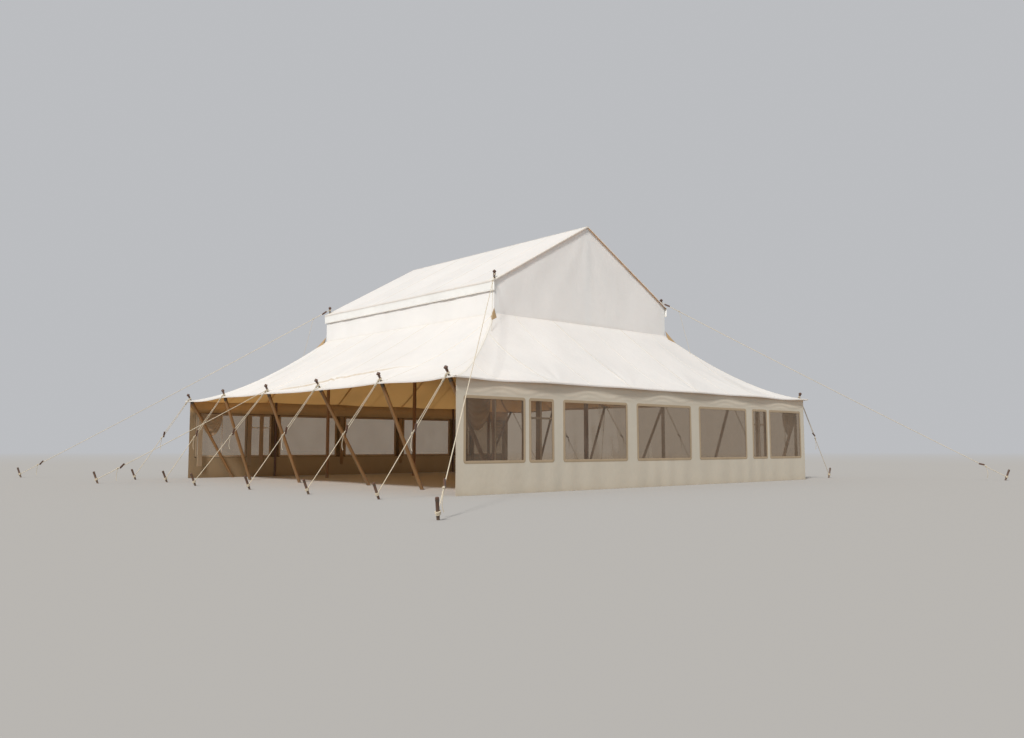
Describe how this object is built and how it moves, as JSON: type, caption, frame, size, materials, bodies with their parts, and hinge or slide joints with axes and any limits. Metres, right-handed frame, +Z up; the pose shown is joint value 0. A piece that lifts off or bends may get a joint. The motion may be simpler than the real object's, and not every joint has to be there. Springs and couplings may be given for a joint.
{
  "type": "marquee tent",
  "caption": "Two-tier white canvas marquee tent with raked timber side poles, rope guys and stakes, open long sides and clear windows in its end walls.",
  "frame": {"origin": "on the ground under the middle of the tent", "axes": "+Y along the ridge, +X across the tent, +Z up"},
  "size_m": [20.0098, 21.2088, 6.78],
  "materials": {
    "canvas": "matte white roof canvas",
    "wall_canvas": "matte cream wall canvas",
    "clear_sheet": "clear flexible window sheet",
    "curtain": "beige gathered curtain",
    "timber": "oiled brown timber",
    "rope": "cream laid rope"
  },
  "bodies": {
    "root": {"corner_guy_far_left": "rope", "corner_guy_far_right": "rope", "corner_guy_near_left": "rope", "corner_guy_near_right": "rope", "curtains_far": "curtain", "curtains_near": "curtain", "end_pole_far_left": "timber", "end_pole_far_right": "timber", "end_pole_near_left": "timber", "end_pole_near_right": "timber", "end_wall_far": "wall_canvas", "end_wall_near": "wall_canvas", "gable_far": "canvas", "gable_near": "canvas", "inner_pole_far_left": "timber", "inner_pole_far_right": "timber", "inner_pole_near_left": "timber", "inner_pole_near_right": "timber", "king_pole_far": "timber", "king_pole_near": "timber", "lower_roof_far": "canvas", "lower_roof_left": "canvas", "lower_roof_near": "canvas", "lower_roof_right": "canvas", "ridge_pole": "timber", "side_guy_left_1": "rope", "side_guy_left_2": "rope", "side_guy_left_3": "rope", "side_guy_left_4": "rope", "side_guy_left_5": "rope", "side_guy_left_6": "rope", "side_guy_right_1": "rope", "side_guy_right_2": "rope", "side_guy_right_3": "rope", "side_guy_right_4": "rope", "side_guy_right_5": "rope", "side_guy_right_6": "rope", "side_pole_left_1": "timber", "side_pole_left_2": "timber", "side_pole_left_3": "timber", "side_pole_left_4": "timber", "side_pole_left_5": "timber", "side_pole_left_6": "timber", "side_pole_right_1": "timber", "side_pole_right_2": "timber", "side_pole_right_3": "timber", "side_pole_right_4": "timber", "side_pole_right_5": "timber", "side_pole_right_6": "timber", "upper_roof_left": "canvas", "upper_roof_right": "canvas", "upright_wall_left": "canvas", "upright_wall_right": "canvas", "window_sheet_far": "clear_sheet", "window_sheet_near": "clear_sheet"}
  },
  "joints": []
}
